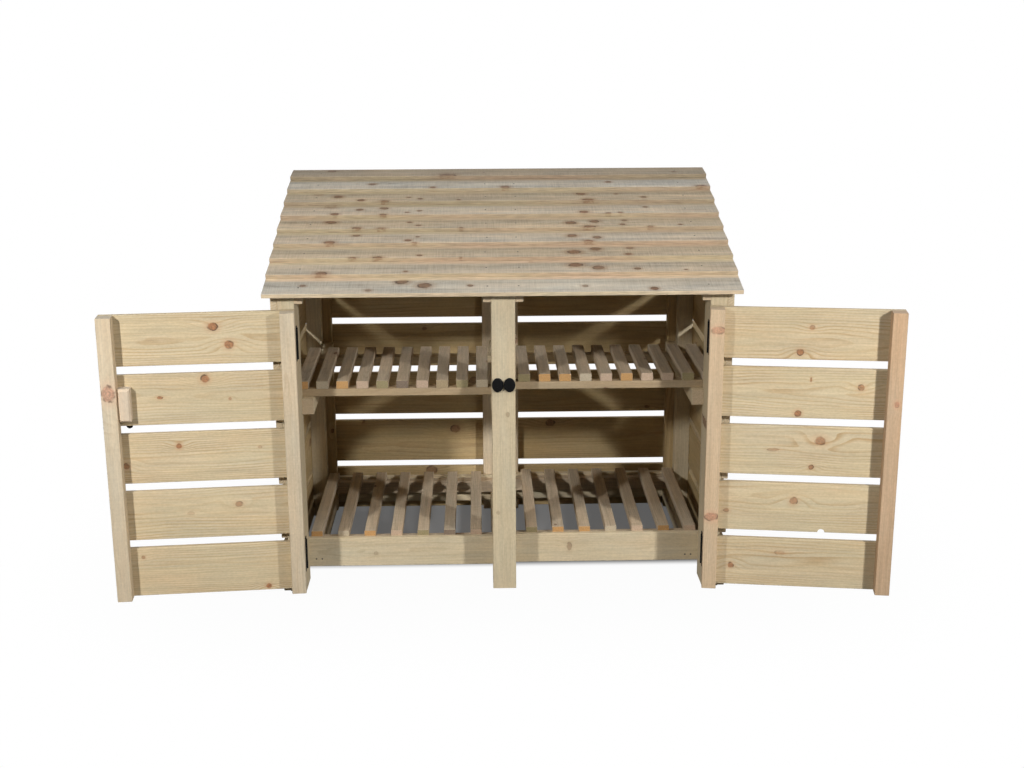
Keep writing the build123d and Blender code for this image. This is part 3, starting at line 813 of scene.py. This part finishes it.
for hand in SIDE:
    for row, (count, slat_width) in SLAT_ROWS.items():
        node = f"{hand}_{row}_slats"
        low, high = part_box(node)
        first, pitch = lanes_between(low[0], high[0], count, slat_width)
        look = {"knot_share": 0.25, "knot_radius": 0.009, "ends": SLAT_ENDS[hand][:count]}
        timber(node, "slat", Y_AXIS, X_AXIS, start=first, pitch=pitch, **look)

for node in ("left_rafter", "right_rafter"):
    timber(node, "post", UP_SLOPE, X_AXIS, knot_share=0.2)
timber("centre_rafters", "post", UP_SLOPE, X_AXIS, lanes=2, knot_share=0.2)

# Roof boards, from the eave up. Their knots are (across the roof, up from the butt, radius, strength). The
# middle boards were sawn one after another from one log, so their whorls of branches line up in files.

ROOF_KNOTS = {
    1: (
        (-0.61, 0.063, 0.009, 0.7), (-0.41, 0.026, 0.010, 0.6),
        (-0.31, 0.086, 0.020, 0.85), (-0.24, 0.058, 0.022, 0.9),
        (-0.10, 0.055, 0.009, 0.8), (0.25, 0.045, 0.010, 0.6),
        (0.46, 0.022, 0.013, 1.0),
    ),
    2: (
        (-0.56, 0.007, 0.020, 0.85), (-0.30, 0.022, 0.007, 0.8),
        (0.09, 0.094, 0.008, 0.7), (0.23, 0.066, 0.022, 0.85),
        (0.30, 0.040, 0.019, 0.8), (0.42, 0.031, 0.010, 0.8),
        (0.57, 0.019, 0.006, 0.8),
    ),
    3: (
        (-0.47, 0.002, 0.013, 0.9), (-0.39, 0.002, 0.017, 0.9),
        (-0.26, 0.023, 0.008, 0.8), (-0.13, 0.002, 0.005, 0.8),
        (0.23, 0.044, 0.021, 0.85), (0.30, 0.069, 0.018, 0.8),
        (0.40, 0.020, 0.011, 0.8), (0.41, 0.079, 0.012, 0.7),
    ),
    4: (
        (-0.55, 0.011, 0.017, 0.9), (-0.47, 0.079, 0.013, 0.8),
        (-0.30, 0.026, 0.011, 0.9), (-0.28, 0.002, 0.010, 0.8),
        (-0.27, 0.060, 0.006, 0.8), (0.23, 0.058, 0.017, 0.8),
        (0.28, 0.002, 0.017, 0.9), (0.31, 0.040, 0.014, 0.8),
    ),
    5: (
        (-0.56, 0.071, 0.018, 0.85), (-0.47, 0.007, 0.015, 0.9),
        (-0.39, 0.002, 0.015, 0.9), (-0.30, 0.065, 0.008, 0.8),
        (-0.27, 0.033, 0.008, 0.8), (-0.13, 0.005, 0.007, 0.8),
        (0.23, 0.047, 0.018, 0.85), (0.29, 0.002, 0.020, 0.9),
        (0.31, 0.060, 0.016, 0.8), (0.40, 0.027, 0.009, 0.8),
        (0.41, 0.068, 0.009, 0.7), (0.49, 0.002, 0.011, 0.9),
        (0.59, 0.022, 0.007, 0.8),
    ),
    6: (
        (-0.57, 0.098, 0.022, 0.8), (-0.55, 0.012, 0.013, 0.9),
        (-0.47, 0.059, 0.012, 0.8), (-0.39, 0.002, 0.012, 0.9),
        (-0.39, 0.072, 0.014, 0.8), (-0.31, 0.027, 0.007, 0.8),
        (-0.27, 0.043, 0.008, 0.8), (0.28, 0.017, 0.015, 0.9),
        (0.36, 0.002, 0.009, 0.8), (0.40, 0.010, 0.008, 0.8),
        (0.49, 0.065, 0.008, 0.8), (0.61, 0.098, 0.012, 0.5),
    ),
    7: (
        (-0.62, 0.088, 0.016, 0.4), (-0.55, 0.057, 0.016, 0.85),
        (-0.47, 0.018, 0.012, 0.9), (-0.39, 0.004, 0.014, 0.9),
        (-0.31, 0.047, 0.007, 0.8), (-0.27, 0.030, 0.008, 0.8),
        (-0.14, 0.016, 0.006, 0.8), (0.28, 0.071, 0.016, 0.8),
        (0.30, 0.002, 0.019, 1.0), (0.40, 0.068, 0.007, 0.8),
        (0.49, 0.032, 0.010, 0.8),
    ),
    8: (
        (-0.44, 0.054, 0.013, 0.8), (-0.23, 0.014, 0.011, 0.9),
        (0.02, 0.013, 0.017, 0.75), (0.38, 0.063, 0.011, 0.8),
        (0.70, 0.002, 0.020, 0.9),
    ),
    9: ((-0.59, 0.078, 0.014, 0.6), (-0.18, 0.006, 0.030, 0.65), (0.62, 0.036, 0.010, 0.4)),
}
KNOT_FLATNESS = 0.8
# Brightness of each roof board's lower edge from the eave up: it falls up the roof as painted falloff of the
# light, on top of board-to-board tone.
BUTT_FALLOFF_TONES = (1.55, 1.0, 0.92, 0.87, 0.80, 0.82, 0.70, 0.80, 0.66)
LAP_GAIN = 1.25
NO_LAP = 1.0

GREYED = rgb(0.86, 0.89, 0.92)
WARM = rgb(0.93, 0.91, 0.88)
TANNED = rgb(0.92, 0.87, 0.79)
PLAIN = rgb(1.02, 1.0, 0.98)
SILVERED = rgb(1.06, 1.12, 1.20)
DULL = rgb(0.72, 0.69, 0.65)
ROOF_TINTS = (GREYED, WARM, TANNED, PLAIN, TANNED, PLAIN, TANNED, SILVERED, DULL)
ROOF_BOARDS = len(ROOF_TINTS)
for number, (tint, tone) in enumerate(zip(ROOF_TINTS, BUTT_FALLOFF_TONES), start=1):
    node = f"roof_board_{number}"
    low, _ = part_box(node)
    knots = []
    for x, up, radius, strength in ROOF_KNOTS[number]:
        knots.append((x, up, radius, radius * KNOT_FLATNESS, strength))
    butt_edge = Vector((0, low[1], low[2]))
    look = {"butt": -UP_SLOPE, "butt_tone": tone, "tint": tint, "lap": NO_LAP}
    if number < ROOF_BOARDS:
        above = Vector(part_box(f"roof_board_{number + 1}")[0])
        look["lap"] = (above - butt_edge).dot(UP_SLOPE)
        look["lap_tone"] = BUTT_FALLOFF_TONES[number] * LAP_GAIN
    timber(node, "roof", X_AXIS, UP_SLOPE, origin=butt_edge, knots=knots, **look)


# Doors. Their knots are placed by the distance from the hinge and the height.

DOOR_KNOTS = {
    "left": (
        (0.250, 0.887, 0.016, 0.012, 0.95), (0.204, 0.829, 0.015, 0.013, 0.9),
        (0.282, 0.724, 0.013, 0.013, 0.9), (0.421, 0.669, 0.009, 0.005, 0.9),
        (0.210, 0.659, 0.005, 0.005, 0.6), (0.373, 0.513, 0.009, 0.009, 0.95),
        (0.536, 0.453, 0.010, 0.010, 0.8), (0.127, 0.500, 0.007, 0.005, 0.4),
        (0.201, 0.316, 0.012, 0.009, 0.6), (0.351, 0.291, 0.013, 0.007, 0.25),
        (0.122, 0.035, 0.009, 0.009, 1.0), (0.506, 0.151, 0.006, 0.006, 0.6),
    ),
    "right": (
        (0.312, 0.871, 0.009, 0.008, 0.6), (0.279, 0.793, 0.011, 0.010, 0.9),
        (0.469, 0.686, 0.011, 0.010, 0.75), (0.281, 0.598, 0.011, 0.010, 0.95),
        (0.316, 0.707, 0.003, 0.008, 0.8), (0.354, 0.512, 0.017, 0.014, 0.75),
        (0.330, 0.425, 0.008, 0.008, 0.8), (0.212, 0.478, 0.019, 0.005, 0.4),
        (0.281, 0.311, 0.013, 0.012, 0.7), (0.073, 0.273, 0.010, 0.006, 0.6),
        (0.247, 0.135, 0.019, 0.008, 0.35), (0.093, 0.087, 0.010, 0.010, 0.85),
    ),
}
DOOR_LOG = {"left": 0.0, "right": 0.62}
STILE_KNOTS = {
    "left_door_free_stile": ((0.698, 0.0, 0.026, 0.020, 0.75),),
    "right_door_hinge_stile": ((0.866, 0.004, 0.012, 0.022, 0.6), (0.265, 0.0, 0.014, 0.022, 0.7)),
    "right_door_free_stile": ((0.647, 0.006, 0.010, 0.008, 0.6),),
}
STILE_TINTS = {
    "right_door_free_stile": rgb(0.93, 0.78, 0.69),
    "right_door_hinge_stile": rgb(0.98, 0.89, 0.82),
}
BLOCK_TINT = rgb(1.05, 1.05, 1.12)


def door_axes(hand):
    """A door's hinge axis, the way to its free edge and the way to its inner face."""
    turn = math.radians(DOOR_TURN[hand])
    axis = Vector((SIDE[hand] * HINGE_X, HINGE_Y, 0))
    along = Vector((-SIDE[hand] * math.cos(turn), -math.sin(turn), 0))
    inward = Vector((-SIDE[hand] * math.sin(turn), math.cos(turn), 0))
    return axis, along, inward


def door_lanes(hand):
    low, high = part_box(f"{hand}_door_boards")
    return lanes_between(low[2], high[2], DOOR_BOARDS, DOOR_BOARD_WIDTH)


def box_centre(node):
    low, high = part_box(node)
    return (Vector(low) + Vector(high)) / 2


for hand in SIDE:
    axis, along, _ = door_axes(hand)
    first, pitch = door_lanes(hand)
    look = {"knots": DOOR_KNOTS[hand], "log": DOOR_LOG[hand]}
    timber(f"{hand}_door_boards", "door", along, Z_AXIS, start=first, pitch=pitch, origin=axis, **look)
    for piece in ("hinge_stile", "free_stile"):
        node = f"{hand}_door_{piece}"
        middle = box_centre(node)
        foot = Vector((middle.x, middle.y, 0))
        knots = STILE_KNOTS.get(node, ())
        timber(node, "stile", Z_AXIS, along, origin=foot, knots=knots, tint=STILE_TINTS.get(node))
timber("left_door_block", "stile", Z_AXIS, X_AXIS, tint=BLOCK_TINT)


# Black iron and dull nails

METAL_CLOUD = ((90, 90, 90), 3.0)
METAL_GRAIN = ((900, 900, 900), 3.0, 0.6)
METAL_CLOUD_RANGE = (0.2, 0.8)
METAL_BUMP = (0.35, 0.0006)


def metal(name, dark, light, roughness, specular, metallic):
    material, g, shader = new_material(name)
    spot = g.node("ShaderNodeTexCoord").outputs["Object"]
    cloud = g.noise(spot, *METAL_CLOUD)
    g.feed(shader.inputs["Base Color"], g.mix(cloud, dark, light))
    g.feed(shader.inputs["Roughness"], g.step(cloud, *METAL_CLOUD_RANGE, *roughness))
    shader.inputs["Specular IOR Level"].default_value = specular
    shader.inputs["Metallic"].default_value = metallic
    emboss(g, shader, g.noise(spot, *METAL_GRAIN), *METAL_BUMP)
    return material


iron = metal(
    "black_iron",
    dark=rgb(0.002, 0.002, 0.0025),
    light=rgb(0.006, 0.006, 0.006),
    roughness=(0.42, 0.62),
    specular=0.08,
    metallic=0.0,
)
steel = metal(
    "nail_steel",
    dark=rgb(0.09, 0.08, 0.07),
    light=rgb(0.20, 0.18, 0.15),
    roughness=(0.45, 0.65),
    specular=0.5,
    metallic=0.6,
)
for hand in SIDE:
    for piece in ("post_hinges", "door_hinges", "turn_button"):
        dress(f"{hand}_{piece}", iron)
for node in ("left_door_handle", "button_screws"):
    dress(node, iron)


# Nail and screw heads, each seated on the face that it was driven into. A dome is rings of points, each at a
# share of the head's radius and of its rise.

NAIL_RADIUS = 0.0030
NAIL_RISE = 0.0008
NAIL_DOME_SHARES = ((0.95, 0.55), (0.6, 1.0))
SCREW_RADIUS = 0.0034
SCREW_RISE = 0.0009
SCREW_SLOT = 0.0010
SCREW_DISC_SHARE = 0.3
SCREW_DOME_SHARES = ((0.97, 0.0), (0.92, 0.7), (0.62, 1.0))
SLOT_REACH_SHARE = 0.6
HEAD_SIDES = 12
RING_SPAN = 2 * math.pi * (HEAD_SIDES - 1) / HEAD_SIDES
SUNK = 0.0004
faces = {}


def seat(node, start, direction):
    """Where a line meets a node first, and the way that the face there looks; nothing where it misses."""
    if node not in faces:
        mesh = nodes[node].data
        corners = [vertex.co.copy() for vertex in mesh.vertices]
        faces[node] = BVHTree.FromPolygons(corners, [tuple(face.vertices) for face in mesh.polygons])
    spot, normal, _, _ = faces[node].ray_cast(start, direction)
    if spot is None:
        return []
    if normal.dot(direction) > 0:
        normal = -normal
    return [(spot, normal)]


def arc(radius, height, low=0, high=RING_SPAN):
    """Points of an arc round the head's middle."""
    angles = [low + (high - low) * step / (HEAD_SIDES - 1) for step in range(HEAD_SIDES)]
    return [Vector((radius * math.cos(angle), radius * math.sin(angle), height)) for angle in angles]


def add_cap(mesh, rings, place, closed=False):
    """Rings of points skinned into a cap that is open below, or closed there too."""
    made = [[mesh.verts.new(place @ point) for point in ring] for ring in rings]
    count = len(rings[0])
    for lower, upper in zip(made, made[1:]):
        for step in range(count):
            after = (step + 1) % count
            mesh.faces.new((lower[step], lower[after], upper[after], upper[step]))
    mesh.faces.new(made[-1])
    if closed:
        mesh.faces.new(made[0])


def add_piece(name, body, mesh, material):
    """Makes a piece of a finished mesh, riding on a body, with the material that it is given."""
    data = bpy.data.meshes.new(name)
    mesh.to_mesh(data)
    mesh.free()
    data.materials.append(material)
    piece = new_object(name, data)
    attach(piece, body)


def facing_out(spot, normal):
    """A frame on a face, with its Z axis out of it."""
    return Matrix.Translation(spot) @ normal.to_track_quat("Z", "Y").to_matrix().to_4x4()


def nail_heads(name, body, seats):
    """One piece of domed round heads."""
    mesh = bmesh.new()
    rings = [arc(NAIL_RADIUS, -SUNK)]
    for radius_share, rise_share in NAIL_DOME_SHARES:
        rings.append(arc(NAIL_RADIUS * radius_share, NAIL_RISE * rise_share))
    for spot, normal in seats:
        add_cap(mesh, rings, facing_out(spot, normal))
    add_piece(name, body, mesh, steel)


def screw_heads(name, body, seats):
    """One piece of slotted heads, each two domed halves over a disc."""
    mesh = bmesh.new()
    disc = [arc(SCREW_RADIUS, -SUNK), arc(SCREW_RADIUS, SCREW_RISE * SCREW_DISC_SHARE)]
    half_slot = math.asin(SCREW_SLOT / 2 / (SCREW_RADIUS * SLOT_REACH_SHARE))
    open_angle = math.pi / 2 - half_slot
    for spot, normal in seats:
        place = facing_out(spot, normal) @ Matrix.Rotation(draw.uniform(0, math.pi), 4, "Z")
        add_cap(mesh, disc, place)
        for half in (0, math.pi):
            low, high = half - open_angle, half + open_angle
            rings = []
            for radius_share, rise_share in SCREW_DOME_SHARES:
                rings.append(arc(SCREW_RADIUS * radius_share, SCREW_RISE * rise_share, low, high))
            add_cap(mesh, rings, place)
    add_piece(name, body, mesh, iron)


NAIL_PAIR = (-0.045, 0.045)
NAIL_STRAY = 0.004
CLEAR = 0.3
ABOVE_ROOF = 3.0
BEYOND = 1.0
ROOF_NAIL_UP = 0.045
CENTRE_NAIL_X = 0.02
RAIL_NAIL_Z = 0.068
RAIL_NAIL_X = (0.616, 0.597)
HINGE_SCREWS = (-0.034, 0.0, 0.034)
POST_SCREW_Y = -0.037
DOOR_SCREW_IN = 0.017


def roof_nails():
    seats = []
    for number in range(1, ROOF_BOARDS + 1):
        node = f"roof_board_{number}"
        nail_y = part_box(node)[0][1] + ROOF_NAIL_UP
        for x in RAFTER_X:
            above = Vector((x + draw.uniform(-NAIL_STRAY, NAIL_STRAY), nail_y, ABOVE_ROOF))
            seats += seat(node, above, -Z_AXIS)
    return seats


def wall_nails():
    seats = []
    for board in range(WALL_BOARDS):
        middle = WALL_LIFT + WALL_BOARD_PITCH * board + WALL_BOARD_WIDTH / 2
        for height in (middle + offset for offset in NAIL_PAIR):
            for hand, side in SIDE.items():
                outward = X_AXIS * side
                for post in (f"{hand}_front_post", f"{hand}_back_post"):
                    beside = box_centre(post) + outward * CLEAR
                    beside.z = height
                    seats += seat(f"{hand}_side_boards", beside, -outward)
                for x in (box_centre(f"{hand}_back_stile").x, side * CENTRE_NAIL_X):
                    seats += seat(f"{hand}_back_boards", Vector((x, BEYOND, height)), -Y_AXIS)
    return seats


def rail_nails():
    seats = []
    for side in SIDE.values():
        for x in RAIL_NAIL_X:
            seats += seat("floor_front_rails", Vector((side * x, -BEYOND, RAIL_NAIL_Z)), Y_AXIS)
    return seats


def door_nails(hand):
    _, _, inward = door_axes(hand)
    _, pitch = door_lanes(hand)
    boards = f"{hand}_door_boards"
    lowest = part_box(boards)[0][2] + DOOR_BOARD_WIDTH / 2
    seats = []
    for board in range(DOOR_BOARDS):
        for stile in (f"{hand}_door_hinge_stile", f"{hand}_door_free_stile"):
            for offset in NAIL_PAIR:
                behind = box_centre(stile) - inward * CLEAR
                behind.z = lowest + pitch * board + offset
                seats += seat(boards, behind, inward)
    return seats


def hinge_screws(hand):
    """Seats of the screws in the post's leaves and in the door's leaves."""
    axis, along, inward = door_axes(hand)
    low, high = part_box(f"{hand}_post_hinges")
    on_post, on_door = [], []
    for hinge in (low[2] + HINGE_LENGTH / 2, high[2] - HINGE_LENGTH / 2):
        for offset in HINGE_SCREWS:
            inside = Vector((0, POST_SCREW_Y, hinge + offset))
            on_post += seat(f"{hand}_post_hinges", inside, X_AXIS * SIDE[hand])
            before = axis - along * CLEAR + inward * DOOR_SCREW_IN
            before.z = hinge + offset
            on_door += seat(f"{hand}_door_hinges", before, along)
    return on_post, on_door


nail_heads("frame_nails", "frame", roof_nails() + wall_nails() + rail_nails())
post_screws = []
for hand in SIDE:
    nail_heads(f"{hand}_door_nails", f"{hand}_door", door_nails(hand))
    on_post, on_door = hinge_screws(hand)
    post_screws += on_post
    screw_heads(f"{hand}_door_hinge_screws", f"{hand}_door", on_door)
screw_heads("post_hinge_screws", "frame", post_screws)


# Rounded ends of the pull handle's two plates. The lower one reaches below the board that carries it.

HANDLE_ALONG = 0.520
PLATE_END_HALF = 0.0098
PLATE_END_LENGTH = 0.0085
PLATE_END_ROOT = 0.0010
PLATE_END_HEM = 0.0005
PLATE_END_FACES = (0.0032, 0.0058)
PLATE_END_STEPS = 17


def plate_end_ring(hem, depth):
    """Half an ellipse with a straight root, drawn in by a hem."""
    half, length = PLATE_END_HALF - hem, PLATE_END_LENGTH - hem
    angles = [math.pi * step / (PLATE_END_STEPS - 1) for step in range(PLATE_END_STEPS)]
    ring = [Vector((half * math.cos(angle), length * math.sin(angle), depth)) for angle in angles]
    return ring + [Vector((-half, -PLATE_END_ROOT, depth)), Vector((half, -PLATE_END_ROOT, depth))]


def handle_ends():
    axis, along, inward = door_axes("left")
    outer, inner = PLATE_END_FACES
    rings = [
        plate_end_ring(PLATE_END_HEM, outer),
        plate_end_ring(0, outer + PLATE_END_HEM),
        plate_end_ring(0, inner - PLATE_END_HEM),
        plate_end_ring(PLATE_END_HEM, inner),
    ]
    low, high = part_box("left_door_handle")
    mesh = bmesh.new()
    for height, way in ((low[2], -Z_AXIS), (high[2], Z_AXIS)):
        root = axis + along * HANDLE_ALONG + Z_AXIS * height
        turn = Matrix((along, way, inward)).transposed().to_4x4()
        add_cap(mesh, rings, Matrix.Translation(root) @ turn, closed=True)
    bmesh.ops.recalc_face_normals(mesh, faces=mesh.faces[:])
    add_piece("left_door_handle_ends", "left_door", mesh, iron)


handle_ends()


# Floor, white surroundings, lights, camera

WHITE = rgb(1, 1, 1)


def seen_share(g):
    """1 for rays that show the surroundings, 0 for rays that light the object."""
    path = g.node("ShaderNodeLightPath").outputs
    shiny = g.math("ADD", path["Is Glossy Ray"], path["Is Transmission Ray"])
    return g.math("ADD", path["Is Camera Ray"], shiny, clamp=True)


def surroundings():
    world = bpy.data.worlds.new("studio")
    bpy.context.scene.world = world
    world.use_nodes = True
    g = Graph(world.node_tree)
    back = world.node_tree.nodes["Background"]
    back.inputs["Color"].default_value = WHITE
    g.feed(back.inputs["Strength"], g.math("MULTIPLY_ADD", seen_share(g), 1.0 - AMBIENT, AMBIENT))


def glow_share(g):
    """How much of the floor's own white shows: little under the store, which paints a shadow there, all of
    it further away.
    """
    spot = g.node("ShaderNodeTexCoord").outputs["Object"]
    rail_corner, wall_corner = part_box("floor_front_rails")[1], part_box("right_side_boards")[1]
    front = rail_corner[1] + SHADE_BEHIND_RAIL
    middle = Vector((0, (front + wall_corner[1]) / 2, 0))
    half = Vector((wall_corner[0], (wall_corner[1] - front) / 2, 1))
    from_middle = g.vector("ABSOLUTE", g.vector("SUBTRACT", spot, tuple(middle)))
    past_edge = g.vector("SUBTRACT", from_middle, tuple(half))
    outside = g.vector("LENGTH", g.vector("MAXIMUM", past_edge, (0, 0, 0)))
    near = g.step(outside, 0.0, SHADE_EDGE, SHADOW_GLOW, NEAR_GLOW)
    return g.step(outside, SHADE_EDGE, FULL_GLOW_AWAY, near, 1.0)


def white_floor():
    material, g, shader = new_material("white_floor")
    tree = material.node_tree
    tree.nodes.remove(shader)
    matt = g.node("ShaderNodeBsdfDiffuse")
    matt.inputs["Color"].default_value = rgb(FLOOR_GREY, FLOOR_GREY, FLOOR_GREY)
    glow = g.node("ShaderNodeEmission")
    glow.inputs["Color"].default_value = WHITE
    blend = g.node("ShaderNodeMixShader")
    g.feed(blend.inputs[0], g.math("MULTIPLY", seen_share(g), glow_share(g)))
    g.feed(blend.inputs[1], matt.outputs[0])
    g.feed(blend.inputs[2], glow.outputs[0])
    g.feed(tree.nodes["Material Output"].inputs["Surface"], blend.outputs[0])
    return material


def lay_floor():
    mesh = bpy.data.meshes.new("floor")
    signs = ((-1, -1), (1, -1), (1, 1), (-1, 1))
    corners = [(x * FLOOR_HALF, y * FLOOR_HALF, 0) for x, y in signs]
    mesh.from_pydata(corners, [], [(0, 1, 2, 3)])
    mesh.materials.append(white_floor())
    floor = new_object("floor", mesh)


def lamp(name, place, aim, size, power, spread=180):
    data = bpy.data.lights.new(name, "AREA")
    data.shape = "RECTANGLE"
    data.size, data.size_y = size
    data.energy = power
    data.spread = math.radians(spread)
    made = new_object(name, data)
    made.location = place
    made.rotation_euler = (Vector(aim) - Vector(place)).to_track_quat("-Z", "Y").to_euler()


def camera():
    data = bpy.data.cameras.new("camera")
    data.sensor_width = SENSOR_MM
    data.lens = FOCAL_PX * SENSOR_MM / PHOTO_WIDTH_PX
    made = new_object("camera", data)
    level_ahead = Vector((math.sin(CAMERA_YAW), math.cos(CAMERA_YAW), 0))
    ahead = level_ahead * math.cos(CAMERA_PITCH) - Z_AXIS * math.sin(CAMERA_PITCH)
    level_right = Vector((math.cos(CAMERA_YAW), -math.sin(CAMERA_YAW), 0))
    level_up = level_right.cross(ahead)
    right = level_right * math.cos(CAMERA_ROLL) + level_up * math.sin(CAMERA_ROLL)
    up = level_up * math.cos(CAMERA_ROLL) - level_right * math.sin(CAMERA_ROLL)
    turn = Matrix((right, up, -ahead)).transposed()
    made.matrix_world = Matrix.Translation(CAMERA_PLACE) @ turn.to_4x4()
    bpy.context.scene.camera = made


surroundings()
lay_floor()
for name, lamp_settings in LIGHTS.items():
    lamp(name, **lamp_settings)
camera()
bpy.context.scene.view_settings.view_transform = "Standard"
